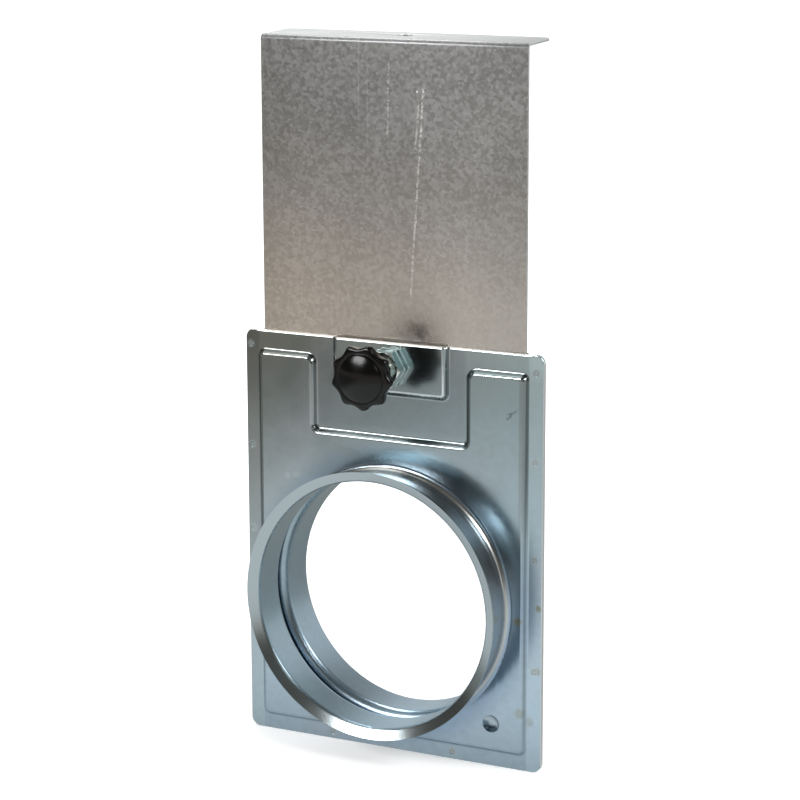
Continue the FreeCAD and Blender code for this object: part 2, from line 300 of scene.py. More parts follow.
# Marks on the plate: dark spots at x, z with size and strength, scratches from x, z to x, z with
# strength; and how strong its tones are
PLATE_DARK_SPOTS = [(12.5, 108.0, 4.5, 0.55), (8.5, 109.5, 2.5, 0.35)]
PLATE_SCRATCHES = [
    ((-2.0, 182.0), (-1.0, 212.0), 0.40), ((8.0, 120.0), (14.0, 204.0), 0.75),
    ((10.0, 176.0), (12.0, 198.0), 0.50),
]
WARM_LEFT = 0.7
WARM_ALL_OVER = 0.3
DRIFT_SHARE = 0.5
CONTRAST_LOW = 0.24
CONTRAST_HIGH = 0.82
LINE_SHARE = 0.22
HANDLE_SHEEN_SHARE = 0.92
PLATE_BUMP = 0.00003

# A scratch: its core and blur, its taper, and how far it wanders and shakes, in millimetres
SCRATCH_WIDTH = (0.15, 0.65)
SCRATCH_TAPER = 2.0
SCRATCH_WANDER = 1.6
SCRATCH_SHAKE = 1.1

# Screw and nut: levels along the duct, and heights above the clamp's axis, in millimetres
FASTENER_DARK = (0.35, 0.42, 0.40, 1)
FASTENER_LIGHT = (0.57, 0.62, 0.60, 1)
# Painted highlight streaks on the nut's edges
FASTENER_HIGHLIGHT = (0.92, 0.98, 0.95, 1)
# Darker above the clamp's axis
TINT_ABOVE_CLAMP = (0.80, 0.88, 0.86, 1)
ABOVE_CLAMP = (0.2, 0.8)
# Where the painted highlight streaks run on the nut
NUT_FRONT_EDGE = (-8.9, -8.3)
NUT_HIGHLIGHT_BAND = (-5.6, -5.1, -4.6, -4.1)
FINE_BUMP = 0.00002

# Knob's plastic
KNOB_BLACK = (0.001, 0.001, 0.001, 1)
KNOB_GREY = (0.0035, 0.0034, 0.0032, 1)
KNOB_DUST = (0.30, 0.29, 0.27, 1)
KNOB_DUST_SHARE = 0.10
KNOB_SPECULAR = 0.36

# Spot welds
WELD_DARK = (0.38, 0.44, 0.45, 1)
WELD_LIGHT = (0.54, 0.60, 0.62, 1)
WELD_BUMP = 0.00005

# Factors that draw a pattern out along Z, or leave out a place's share along the duct
NO_PLACE = (0.0, 0.0, 0.0)
ALONG_Z = (1.0, 1.0, 0.012)
FLATTENED = (1.0, 0.0, 1.0)


def clear_selection():
    bpy.ops.object.select_all(action="DESELECT")


def select_only(piece):
    clear_selection()
    piece.select_set(True)
    bpy.context.view_layer.objects.active = piece


def feed(tree, socket, value):
    """Links another node's socket in, or sets a number, a place or a colour."""
    if isinstance(value, bpy.types.NodeSocket):
        tree.links.new(value, socket)
    else:
        socket.default_value = value


def add_node(tree, kind, inputs, **settings):
    """New shader node; after its settings, its inputs are fed by name or number."""
    node = tree.nodes.new("ShaderNode" + kind)
    for setting, value in settings.items():
        setattr(node, setting, value)
    for label, value in inputs.items():
        feed(tree, node.inputs[label], value)
    return node


def maths(tree, operation, *values, clamp=False):
    return add_node(tree, "Math", dict(enumerate(values)), operation=operation, use_clamp=clamp).outputs[0]


def product(tree, mask, *others):
    for other in others:
        mask = maths(tree, "MULTIPLY", mask, other)
    return mask


def inverse(tree, mask):
    return maths(tree, "SUBTRACT", 1.0, mask)


def offset(tree, value, start):
    return maths(tree, "SUBTRACT", value, start)


def swing(tree, value, share):
    """A value that lies round a half, made to swing round zero by a share of it."""
    return product(tree, offset(tree, value, 0.5), share)


def length_of(tree, first, second):
    squares = maths(tree, "ADD", product(tree, first, first), product(tree, second, second))
    return maths(tree, "SQRT", squares)


def vector_maths(tree, operation, *values):
    """Maths on places; a length and a dot product come out as a number."""
    node = add_node(tree, "VectorMath", dict(enumerate(values)), operation=operation)
    return node.outputs["Value" if operation in ("LENGTH", "DOT_PRODUCT") else "Vector"]


def mix_colour(tree, mask, first, second, blend="MIX"):
    sockets = {0: mask, 6: first, 7: second}
    return add_node(tree, "Mix", sockets, data_type="RGBA", blend_type=blend).outputs[2]


def tint(tree, mask, colour, factor):
    return mix_colour(tree, mask, colour, factor, "MULTIPLY")


def mix_value(tree, mask, first, second):
    return add_node(tree, "Mix", {0: mask, 2: first, 3: second}).outputs[0]


def ramp(tree, value, low, high, to_low=0.0, to_high=1.0, smooth=True):
    """Value from low..high brought to to_low..to_high, held at both ends."""
    sockets = dict(enumerate((value, low, high, to_low, to_high)))
    shape = "SMOOTHSTEP" if smooth else "LINEAR"
    return add_node(tree, "MapRange", sockets, interpolation_type=shape).outputs[0]


def rise(tree, place, begins, full, smooth=True):
    """Mask that comes up between two places in millimetres."""
    return ramp(tree, place, begins * MM, full * MM, smooth=smooth)


def fall(tree, place, fades, gone, smooth=True):
    """Mask that goes out between two places in millimetres."""
    return ramp(tree, place, fades * MM, gone * MM, 1.0, 0.0, smooth)


def band(tree, place, begins, full, fades, gone):
    """Mask that comes up and goes out again, at places in millimetres."""
    return product(tree, rise(tree, place, begins, full), fall(tree, place, fades, gone))


def near_edge(tree, place, edge, begins, full):
    """Mask that comes up towards an edge, between two distances from it in millimetres."""
    return ramp(tree, place, edge - begins * MM, edge - full * MM)


def empty_tree(owner):
    """Node tree of a material or world, with nothing in it."""
    owner.use_nodes = True
    owner.node_tree.nodes.clear()
    return owner.node_tree


def new_material(name):
    material = bpy.data.materials.new(name)
    tree = empty_tree(material)
    shader = tree.nodes.new("ShaderNodeBsdfPrincipled")
    add_node(tree, "OutputMaterial", {0: shader.outputs[0]})
    return material, tree, shader


def split_place(tree, place):
    """The x, y and z of a place or a direction."""
    return add_node(tree, "SeparateXYZ", {0: place}).outputs


def piece_place(tree):
    """The surface's place in the piece's own coordinates: whole, and its x, y and z."""
    point = tree.nodes.new("ShaderNodeTexCoord").outputs["Object"]
    return (point, *split_place(tree, point))


def add_camera():
    camera = bpy.data.cameras.new("view")
    camera.lens = CAMERA_LENS
    camera.sensor_width = SENSOR
    camera.clip_end = CAMERA_REACH
    seat = bpy.data.objects.new("view", camera)
    axes = Matrix((CAMERA_RIGHT, CAMERA_UP, CAMERA_BACK)).transposed()
    seat.matrix_world = Matrix.Translation(CAMERA_PLACE) @ axes.to_4x4()
    bpy.context.scene.collection.objects.link(seat)
    bpy.context.scene.camera = seat


def add_lights():
    """Soft boxes that face the gate; their energy in watts is four times area times radiance."""
    for name, place, width, height, radiance, colour in BOXES:
        light = bpy.data.lights.new(name, "AREA")
        light.shape = "RECTANGLE"
        light.size = width
        light.size_y = height
        light.energy = 4 * width * height * radiance
        light.color = colour
        seat = bpy.data.objects.new(name, light)
        seat.location = place
        seat.rotation_euler = (Vector(LIGHT_AIM) - Vector(place)).to_track_quat("-Z", "Y").to_euler()
        seat.visible_camera = False
        bpy.context.scene.collection.objects.link(seat)


def add_world():
    """White for the camera, a dim even light, and in mirrors a dark room that is pale behind the gate."""
    world = bpy.data.worlds.new("studio")
    bpy.context.scene.world = world
    tree = empty_tree(world)
    way = split_place(tree, tree.nodes.new("ShaderNodeTexCoord").outputs["Generated"])
    rear = product(tree, ramp(tree, way["Y"], *REAR_BEGINS), ramp(tree, way["Z"], *REAR_FADES_UP))
    room = mix_colour(tree, rear, ROOM_DARK, ROOM_REAR)
    mirrored = add_node(tree, "Background", {"Color": room})
    ambient = add_node(tree, "Background", {"Color": WHITE, "Strength": AMBIENT})
    plain = add_node(tree, "Background", {"Color": WHITE})
    rays = tree.nodes.new("ShaderNodeLightPath").outputs
    seen = maths(tree, "MAXIMUM", rays["Is Camera Ray"], rays["Is Transmission Ray"])
    lit = add_node(
        tree, "MixShader", {0: rays["Is Glossy Ray"], 1: ambient.outputs[0], 2: mirrored.outputs[0]})
    whole = add_node(tree, "MixShader", {0: seen, 1: lit.outputs[0], 2: plain.outputs[0]})
    add_node(tree, "OutputWorld", {0: whole.outputs[0]})


def add_floor():
    """Pale floor that keeps the gate's shadow, and that metal mirrors lit in front and dim beside."""
    clear_selection()
    bpy.ops.mesh.primitive_plane_add(size=FLOOR_SIZE, location=(0, 0, FLOOR_LEVEL))
    floor = bpy.context.object
    floor.name = "floor"
    paper = bpy.data.materials.new("floor_paper")
    tree = empty_tree(paper)
    spot = tree.nodes.new("ShaderNodeNewGeometry").outputs["Position"]
    x, y, _ = split_place(tree, spot)
    in_front = product(
        tree, ramp(tree, x, *LIT_FROM_LEFT), ramp(tree, y, *LIT_IN_FRONT), ramp(tree, x, *LIT_TO_RIGHT))
    lit = mix_value(tree, ramp(tree, y, *BEHIND_GATE), in_front, LIT_BEHIND)
    colour = mix_colour(tree, lit, MIRRORED_DIM, MIRRORED_LIT)
    colour = mix_colour(tree, ramp(tree, y, *FAR_IN_FRONT), colour, MIRRORED_FAR)
    mirrored = add_node(tree, "Emission", {"Color": colour})
    rays = tree.nodes.new("ShaderNodeLightPath").outputs
    lift = product(tree, rays["Is Camera Ray"], ramp(tree, vector_maths(tree, "LENGTH", spot), *FLOOR_LIFT))
    pale = add_node(tree, "BsdfDiffuse", {"Color": FLOOR_PALE})
    lifted = add_node(tree, "Emission", {"Strength": lift})
    seen = add_node(tree, "AddShader", {0: pale.outputs[0], 1: lifted.outputs[0]})
    whole = add_node(
        tree, "MixShader", {0: rays["Is Glossy Ray"], 1: seen.outputs[0], 2: mirrored.outputs[0]})
    add_node(tree, "OutputMaterial", {0: whole.outputs[0]})
    floor.data.materials.append(paper)


def new_group(name, inputs, output):
    """Shader node group with (name, kind, default) inputs and one number that it puts out."""
    group = bpy.data.node_groups.new(name, "ShaderNodeTree")
    for label, kind, default in inputs:
        socket = group.interface.new_socket(name=label, in_out="INPUT", socket_type="NodeSocket" + kind)
        socket.default_value = default
    group.interface.new_socket(name=output, in_out="OUTPUT", socket_type="NodeSocketFloat")
    given = group.nodes.new("NodeGroupInput").outputs
    result = group.nodes.new("NodeGroupOutput").inputs[0]
    return group, given, result


def use_group(tree, group, **values):
    return add_node(tree, "Group", values, node_tree=group).outputs[0]


def noise(tree, point, scale, detail=2.0, roughness=0.5):
    sockets = {"Vector": point, "Scale": scale, "Detail": detail, "Roughness": roughness}
    return add_node(tree, "TexNoise", sockets).outputs[0]


def random_tone(tree, cells):
    """One random number for each cell of a cell pattern."""
    return add_node(tree, "SeparateColor", {0: cells.outputs["Color"]}).outputs[0]


def spangle_group():
    """Crystals of hot-dip zinc: cells of random tone, softened by finer grain."""
    group, given, result = new_group(
        "zinc_spangle",
        [("Point", "Vector", NO_PLACE), ("Cells", "Float", 700.0), ("Grain", "Float", 1500.0)],
        "Tone")
    cells = add_node(
        group, "TexVoronoi", {"Vector": given["Point"], "Scale": given["Cells"], "Smoothness": 0.6},
        feature="SMOOTH_F1")
    fine = noise(group, given["Point"], given["Grain"], detail=3.0, roughness=0.7)
    feed(group, result, mix_value(group, 0.45, random_tone(group, cells), fine))
    return group


def line_group():
    """Fine drawn lines that run along Z, patchy in strength."""
    group, given, result = new_group(
        "drawn_lines",
        [("Point", "Vector", NO_PLACE), ("Spacing", "Float", 900.0), ("Threshold", "Float", 0.62)],
        "Mask")
    drawn_out = add_node(group, "Mapping", {"Vector": given["Point"], "Scale": ALONG_Z}).outputs[0]
    lines = noise(group, drawn_out, given["Spacing"], detail=1.0)
    patches = noise(group, given["Point"], scale=38.0)
    sharp = maths(group, "MULTIPLY", offset(group, lines, given["Threshold"]), 9.0, clamp=True)
    feed(group, result, product(group, sharp, patches))
    return group


def fleck_group():
    """Scattered small round flecks, from cells of which only a few are kept."""
    group, given, result = new_group(
        "flecks",
        [("Point", "Vector", NO_PLACE), ("Cells", "Float", 120.0), ("Size", "Float", 0.10),
         ("Share", "Float", 0.9)],
        "Mask")
    cells = add_node(group, "TexVoronoi", {"Vector": given["Point"], "Scale": given["Cells"]})
    kept = maths(group, "GREATER_THAN", random_tone(group, cells), given["Share"])
    outwards = maths(group, "DIVIDE", cells.outputs["Distance"], given["Size"])
    near = maths(group, "SUBTRACT", 1.0, outwards, clamp=True)
    feed(group, result, product(group, kept, maths(group, "MULTIPLY", near, 2.0, clamp=True)))
    return group


def stain_group():
    """One soft, uneven stain round a place on a face, seen along the duct."""
    group, given, result = new_group(
        "stain",
        [("Point", "Vector", NO_PLACE), ("Place", "Vector", NO_PLACE), ("Size", "Float", 0.002),
         ("Uneven", "Float", 0.5)],
        "Mask")
    away = vector_maths(group, "SUBTRACT", given["Point"], given["Place"])
    away = vector_maths(group, "LENGTH", vector_maths(group, "MULTIPLY", away, FLATTENED))
    part = maths(group, "DIVIDE", away, given["Size"])
    rough = swing(group, noise(group, given["Point"], scale=900.0, detail=3.0), given["Uneven"])
    bent = maths(group, "ADD", part, rough)
    feed(group, result, ramp(group, bent, 0.30, 1.0, to_low=1.0, to_high=0.0))
    return group


def marked(tree, point, colour, marks, tone):
    """The colour with stains of one tone at (x, z, size, strength), the first three in millimetres."""
    for x, z, size, strength in marks:
        place = (x * MM, 0.0, z * MM)
        mask = use_group(tree, stain, Point=point, Place=place, Size=size * MM, Uneven=MARK_UNEVEN)
        colour = mix_colour(tree, product(tree, mask, strength), colour, tone)
    return colour


def scratch(tree, point, start, end, waver=1.0):
    """Mask of a thin broken scratch between two (x, z) places in millimetres."""
    dx, dz = end[0] - start[0], end[1] - start[1]
    length = math.hypot(dx, dz)
    from_start = vector_maths(tree, "SUBTRACT", point, (start[0] * MM, 0.0, start[1] * MM))
    along = vector_maths(tree, "DOT_PRODUCT", from_start, (dx / length, 0.0, dz / length))
    across = vector_maths(tree, "DOT_PRODUCT", from_start, (-dz / length, 0.0, dx / length))
    wander = swing(tree, noise(tree, point, scale=30.0, detail=3.0), SCRATCH_WANDER * waver * MM)
    shake = swing(tree, noise(tree, point, scale=1100.0, detail=1.0), SCRATCH_SHAKE * waver * MM)
    off = maths(tree, "ABSOLUTE", maths(tree, "ADD", across, maths(tree, "ADD", wander, shake)))
    thin = fall(tree, off, *SCRATCH_WIDTH)
    broken = ramp(tree, noise(tree, point, scale=700.0), 0.40, 0.58, to_low=0.10)
    begins = rise(tree, along, 0.0, SCRATCH_TAPER)
    ends = fall(tree, along, length - SCRATCH_TAPER, length)
    return product(tree, thin, broken, begins, ends)


def bump(tree, shader, height, depth):
    relief = add_node(tree, "Bump", {"Distance": depth, "Height": height})
    feed(tree, shader.inputs["Normal"], relief.outputs[0])


def shell_regions(tree, x, y, z):
    """Masks of the shells' regions, by name."""
    beside = maths(tree, "ABSOLUTE", x)
    radius = length_of(tree, x, z)
    inside = maths(tree, "MAXIMUM", fall(tree, radius, *BORE_RADIUS), rise(tree, y, *SHEET_BACK))
    outside = inverse(tree, inside)
    collar = rise(tree, y, *COLLAR_OUT)
    lip = rise(tree, y, *LIP_OUT)
    flat = inverse(tree, maths(tree, "MAXIMUM", inside, collar))
    # Flat face round the collar, which takes a painted shade
    halo_shade = product(tree, flat, fall(tree, radius, *HALO_RADIUS))
    from_glow = length_of(tree, product(tree, offset(tree, x, GLOW_PLACE[0] * MM), GLOW_SQUEEZE),
                          offset(tree, z, GLOW_PLACE[1] * MM))
    foot_low, foot_high = FOOT_UP
    foot_share = ramp(tree, z, foot_low * MM, foot_high * MM, to_low=FOOT_LOW_SHARE)
    pad = product(tree, fall(tree, beside, *PAD_BESIDE), rise(tree, z, *PAD_UP))
    bay = product(tree, fall(tree, beside, *BAY_BESIDE), rise(tree, z, *BAY_UP))
    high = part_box("front_shell")[1]
    top_cut = near_edge(tree, z, high.z, *CUT_UNDER_TOP)
    side_cut = near_edge(tree, beside, high.x, *CUT_FROM_SIDE)
    crest = product(tree, fall(tree, beside, *CREST_BESIDE), band(tree, z, *CREST_UP))
    return {
        "inside": inside,
        "collar": collar,
        "lip": lip,
        "halo_shade": halo_shade,
        "collar_highlight": product(tree, halo_shade, fall(tree, from_glow, *GLOW_RADIUS)),
        "outer_wall": product(tree, collar, outside),
        "outer_lip": product(tree, lip, outside),
        "step_foot_shade": product(tree, band(tree, y, *FOOT_LEVEL), foot_share, flat),
        "strip": rise(tree, z, *STRIP_UP),
        "pad": pad,
        "bay": product(tree, bay, inverse(tree, pad)),
        "left": product(tree, flat, fall(tree, x, *LEFT_ACROSS), rise(tree, z, *LEFT_UP)),
        "border": rise(tree, beside, *BORDER_BESIDE),
        "right_step_tone": product(tree, band(tree, x, *RIGHT_STEP_ACROSS), band(tree, z, *RIGHT_STEP_UP)),
        "cut": maths(tree, "MAXIMUM", top_cut, side_cut),
        "pad_crest_highlight": product(tree, crest, band(tree, y, *CREST_LEVEL)),
    }


def dimple_regions(tree, x, z, inside):
    """Masks of the dimple's floor with a painted highlight, its crescent with painted shade, and the satin
    in it and inside the collars.
    """
    across = offset(tree, x, DIMPLE[0] * MM)
    up = offset(tree, z, DIMPLE[1] * MM)
    away = length_of(tree, across, up)
    lit_side = maths(tree, "ADD", up, product(tree, across, DIMPLE_LEAN))
    return {
        "dimple": product(tree, fall(tree, away, *DIMPLE_FLOOR), rise(tree, lit_side, *DIMPLE_FLOOR_UP)),
        "dimple_shade": product(
            tree, band(tree, away, *DIMPLE_SHADE), fall(tree, lit_side, *DIMPLE_SHADE_DOWN)),
        "satin": maths(tree, "MAXIMUM", inside, fall(tree, away, *DIMPLE_SATIN)),
    }


def shell_colour(tree, point, x, z, region):
    """The shells' zinc: a bluish ground, its tints by region, and then the marks on it."""
    height = rise(tree, z, *TONE_UP, smooth=False)
    across = rise(tree, x, *TONE_ACROSS, smooth=False)
    colour = mix_colour(tree, height, SHELL_BLUE, mix_colour(tree, across, SHELL_TOP_LEFT, SHELL_TOP_RIGHT))
    patches = noise(tree, point, scale=22.0, detail=3.0)
    colour = mix_colour(tree, ramp(tree, patches, 0.45, 0.70, to_high=0.30), colour, SHELL_ROSE)
    fine = use_group(tree, spangle, Point=point, Cells=480.0, Grain=1900.0)
    crystals = ramp(tree, fine, 0.25, 0.80, to_high=0.16, smooth=False)
    colour = mix_colour(tree, crystals, colour, SHELL_CRYSTAL)

    colour = tint(tree, region["inside"], colour, TINT_INSIDE)
    # Painted shade in a bluish halo round the collar on the flat face
    colour = tint(tree, region["halo_shade"], colour, TINT_HALO_SHADE)
    # Painted highlight, pale and bluish, over the top of the collar
    colour = tint(tree, region["collar_highlight"], colour, TINT_COLLAR_HIGHLIGHT)
    colour = mix_colour(tree, product(tree, region["outer_wall"], WALL_SHARE), colour, SHELL_WALL)
    colour = mix_colour(tree, region["outer_lip"], colour, SHELL_LIP)
    # Painted shade in the foot of the pressed steps, weaker low down
    colour = tint(tree, region["step_foot_shade"], colour, TINT_FOOT_SHADE)
    strip_tone = mix_colour(tree, across, TINT_STRIP_LEFT, TINT_STRIP_RIGHT)
    colour = tint(tree, region["strip"], colour, strip_tone)
    colour = tint(tree, region["bay"], colour, TINT_BAY)
    left_tone = mix_colour(tree, rise(tree, z, *LEFT_TONE_UP), TINT_LEFT_LOW, TINT_LEFT_HIGH)
    colour = tint(tree, region["left"], colour, left_tone)
    border_tone = mix_colour(tree, height, TINT_BORDER_LOW, TINT_BORDER_HIGH)
    border_tone = mix_colour(tree, across, border_tone, TINT_BORDER_RIGHT)
    colour = tint(tree, region["border"], colour, border_tone)
    # Darker, browner band along the pocket's right step, from the middle up
    colour = tint(tree, region["right_step_tone"], colour, TINT_RIGHT_STEP)

    colour = marked(tree, point, colour, SHELL_STAINS, SHELL_STAIN)
    for start, end in SHELL_NICKS:
        colour = mix_colour(tree, scratch(tree, point, start, end, NICK_WAVER), colour, SHELL_NICK)
    colour = marked(tree, point, colour, SHELL_SCUFFS, SHELL_SCUFF)
    rings = [(weld_x, weld_z, WELD_RING_SIZE, WELD_RING_STRENGTH) for weld_x, weld_z in SHELL_WELDS]
    colour = marked(tree, point, colour, rings, SHELL_WELD_RING)
    bright = use_group(tree, flecks, Point=point, Cells=95.0, Size=0.035, Share=0.80)
    colour = mix_colour(tree, product(tree, bright, FLECK_SHARE), colour, SHELL_FLECK)
    # Painted highlight on the dimple's lit floor and painted shade in its crescent
    colour = mix_colour(tree, product(tree, region["dimple"], DIMPLE_SHARE), colour, SHELL_DIMPLE_LIT)
    colour = tint(tree, region["dimple_shade"], colour, TINT_DIMPLE_SHADE)
    # Cut edges along the top and sides: bare steel, painted pale as their highlight line
    colour = mix_colour(tree, region["cut"], colour, SHELL_CUT_HIGHLIGHT)
    # Painted highlight: a pale, less metallic line along the pad's crest
    return mix_colour(tree, region["pad_crest_highlight"], colour, SHELL_PAD_HIGHLIGHT)


def shell_zinc():
    """Bright zinc on pressed sheet: a blurred, slightly wavy mirror, with a painted highlight on the pad's
    crest.
    """
    material, tree, shader = new_material("shell_zinc")
    point, x, y, z = piece_place(tree)
    region = shell_regions(tree, x, y, z)
    region.update(dimple_regions(tree, x, z, region["inside"]))
    feed(tree, shader.inputs["Base Color"], shell_colour(tree, point, x, z, region))
    # The painted highlight on the pad's crest is also less metallic
    metal = inverse(tree, product(tree, region["pad_crest_highlight"], HIGHLIGHT_LESS_METAL))
    feed(tree, shader.inputs["Metallic"], metal)
    cloudy = ramp(tree, noise(tree, point, scale=60.0, detail=4.0), 0.3, 0.7, to_low=0.17, to_high=0.23)
    lines = use_group(tree, drawn, Point=point, Spacing=700.0, Threshold=0.60)
    rough = maths(tree, "ADD", cloudy, product(tree, lines, LINE_ROUGHNESS))
    for name, roughness in SHELL_ROUGHNESS:
        rough = mix_value(tree, region[name], rough, roughness)
    feed(tree, shader.inputs["Roughness"], rough)
    waves = noise(tree, point, scale=26.0, detail=1.0)
    grain = product(tree, noise(tree, point, scale=1600.0), SHELL_GRAIN_SHARE)
    bump(tree, shader, maths(tree, "ADD", waves, grain), SHELL_BUMP)
    return material


def plate_colour(tree, point, x, y, z, tone):
    """The plate's zinc: crystals from dark to light, its tints by place, and then the marks on it."""
    low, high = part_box("slide_plate")
    height = rise(tree, z, *PLATE_TONE_UP)
    left = fall(tree, x, *PLATE_TONE_LEFT, smooth=False)
    warm = maths(tree, "ADD", product(tree, left, WARM_LEFT), WARM_ALL_OVER)
    warm = product(tree, inverse(tree, height), warm)
    dark = mix_colour(tree, warm, PLATE_DARK, PLATE_DARK_WARM)
    light = mix_colour(tree, warm, PLATE_LIGHT, PLATE_LIGHT_WARM)
    contrast = mix_value(tree, height, CONTRAST_LOW, CONTRAST_HIGH)
    spread = swing(tree, ramp(tree, tone, 0.20, 0.78, smooth=False), contrast)
    colour = mix_colour(tree, maths(tree, "ADD", 0.5, spread), dark, light)

    colour = tint(tree, rise(tree, z, *UPPER_UP, smooth=False), colour, TINT_UPPER)
    colour = tint(tree, rise(tree, z, *TOP_UP, smooth=False), colour, TINT_TOP)
    # Painted shade down the plate's middle
    from_middle = maths(tree, "ABSOLUTE", offset(tree, x, MIDDLE_PLACE * MM))
    colour = tint(tree, fall(tree, from_middle, *MIDDLE_BESIDE), colour, TINT_MIDDLE_SHADE)
    in_front, behind = FRONT_FACE
    front_face = ramp(tree, y, low.y + in_front * MM, low.y + behind * MM, 1.0, 0.0)
    # Dark spots on the front face above the housing, by the knob
    spotted = marked(tree, point, colour, PLATE_DARK_SPOTS, PLATE_DARK_SPOT)
    colour = mix_colour(tree, front_face, colour, spotted)
    corner = product(tree, rise(tree, x, *CORNER_ACROSS), rise(tree, z, *CORNER_UP))
    colour = tint(tree, corner, colour, TINT_BRIGHT_CORNER)

    lines = use_group(tree, drawn, Point=point, Spacing=520.0, Threshold=0.66)
    colour = mix_colour(tree, product(tree, lines, LINE_SHARE), colour, PLATE_SCRATCH)
    for start, end, strength in PLATE_SCRATCHES:
        mask = product(tree, scratch(tree, point, start, end), front_face, strength)
        colour = mix_colour(tree, mask, colour, PLATE_SCRATCH)
    bright = use_group(tree, flecks, Point=point, Cells=80.0, Size=0.045, Share=0.86)
    colour = mix_colour(tree, bright, colour, PLATE_FLECK)
    # Painted highlight: the handle and the plate's cut sides made pale
    handle_sheen = product(tree, rise(tree, y, *HANDLE_BACK), HANDLE_SHEEN_SHARE)
    side_sheen = near_edge(tree, maths(tree, "ABSOLUTE", x), high.x, *PLATE_SIDE)
    return mix_colour(tree, maths(tree, "MAXIMUM", handle_sheen, side_sheen), colour, PLATE_PALE_SHEEN)


def plate_zinc():
    """Mottled galvanised sheet: grainy spangle in a warm grey, with drawn scratches."""
    material, tree, shader = new_material("plate_zinc")
    point, x, y, z = piece_place(tree)
    tone = use_group(tree, spangle, Point=point, Cells=820.0, Grain=1400.0)
    drift = swing(tree, noise(tree, point, scale=45.0, detail=3.0), DRIFT_SHARE)
    tone = maths(tree, "ADD", tone, drift)
    feed(tree, shader.inputs["Base Color"], plate_colour(tree, point, x, y, z, tone))
    shader.inputs["Metallic"].default_value = 1.0
    feed(tree, shader.inputs["Roughness"], ramp(tree, tone, 0.25, 0.75, to_low=0.36, to_high=0.44))
    bump(tree, shader, tone, PLATE_BUMP)
    return material


def fastener_zinc():
    """Zinc plating on the screw and nut: uneven, darker above the axis, with painted highlight streaks at
    the nut's edges.
    """
    material, tree, shader = new_material("fastener_zinc")
    point, _, y, z = piece_place(tree)
    cloudy = noise(tree, point, scale=260.0, detail=4.0)
    colour = mix_colour(tree, cloudy, FASTENER_DARK, FASTENER_LIGHT)
    above = rise(tree, offset(tree, z, CLAMP_HEIGHT), *ABOVE_CLAMP)
    colour = tint(tree, above, colour, TINT_ABOVE_CLAMP)
    # Painted highlight streaks along the nut's front edge and a band behind it, broken up
    edges = maths(tree, "MAXIMUM", fall(tree, y, *NUT_FRONT_EDGE), band(tree, y, *NUT_HIGHLIGHT_BAND))
    streak_patches = ramp(tree, noise(tree, point, scale=420.0), 0.40, 0.55)
    colour = mix_colour(tree, product(tree, edges, streak_patches), colour, FASTENER_HIGHLIGHT)
    feed(tree, shader.inputs["Base Color"], colour)
    shader.inputs["Metallic"].default_value = 1.0
    feed(tree, shader.inputs["Roughness"], ramp(tree, cloudy, 0.3, 0.7, to_low=0.14, to_high=0.26))
    bump(tree, shader, noise(tree, point, scale=900.0, detail=3.0), FINE_BUMP)
    return material


def knob_plastic():
    """Black moulded plastic with a fine pebbled skin and a few pale specks of dust."""
    material, tree, shader = new_material("knob_plastic")
    point = piece_place(tree)[0]
    patches = noise(tree, point, scale=160.0, detail=3.0)
    colour = mix_colour(tree, patches, KNOB_BLACK, KNOB_GREY)
    dust = use_group(tree, flecks, Point=point, Cells=420.0, Size=0.12, Share=0.90)
    colour = mix_colour(tree, product(tree, dust, KNOB_DUST_SHARE), colour, KNOB_DUST)
    feed(tree, shader.inputs["Base Color"], colour)
    shader.inputs["Specular IOR Level"].default_value = KNOB_SPECULAR
    feed(tree, shader.inputs["Roughness"], ramp(tree, patches, 0.35, 0.65, to_low=0.155, to_high=0.21))
    bump(tree, shader, noise(tree, point, scale=2600.0), FINE_BUMP)
    return material


def weld_steel():
    """Zinc burnt dull and uneven by the spot welder."""
    material, tree, shader = new_material("weld_steel")
    point = piece_place(tree)[0]
    burnt = noise(tree, point, scale=1100.0, detail=3.0)
    feed(tree, shader.inputs["Base Color"], mix_colour(tree, burnt, WELD_DARK, WELD_LIGHT))
    shader.inputs["Metallic"].default_value = 1.0
    feed(tree, shader.inputs["Roughness"], ramp(tree, burnt, 0.3, 0.7, to_low=0.20, to_high=0.34))
    bump(tree, shader, burnt, WELD_BUMP)
    return material


def dress(node, material):
    for slot in nodes[node].material_slots:
        slot.material = material


def start_edit(piece):
    """Edit mode on one piece with nothing selected."""
    select_only(piece)
    bpy.ops.object.mode_set(mode="EDIT")
    bpy.ops.mesh.select_mode(type="VERT")
    bpy.ops.mesh.select_all(action="DESELECT")


def leave_edit():
    bpy.ops.object.mode_set(mode="OBJECT")


def pick(piece, wanted):
    """Selects the vertices whose place passes the test, in edit mode."""
    bpy.ops.mesh.select_all(action="DESELECT")
    shape = bmesh.from_edit_mesh(piece.data)
    for vertex in shape.verts:
        if wanted(vertex.co):
            vertex.select_set(True)
    shape.select_flush(True)
    bmesh.update_edit_mesh(piece.data)


def face_outwards():
    bpy.ops.mesh.select_all(action="SELECT")
    bpy.ops.mesh.normals_make_consistent(inside=False)


def apply_all(piece):
    """Applies every modifier, in order."""
    select_only(piece)
    for modifier in list(piece.modifiers):
        bpy.ops.object.modifier_apply(modifier=modifier.name)


def finish_piece(piece, name, body, material, node):
    """Names a piece, gives it its material, and lets it stand for a CAD node on a body."""
    piece.name = name
    piece.data.name = name
    piece.data.materials.clear()
    piece.data.materials.append(material)
    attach(piece, body)
    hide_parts(node)


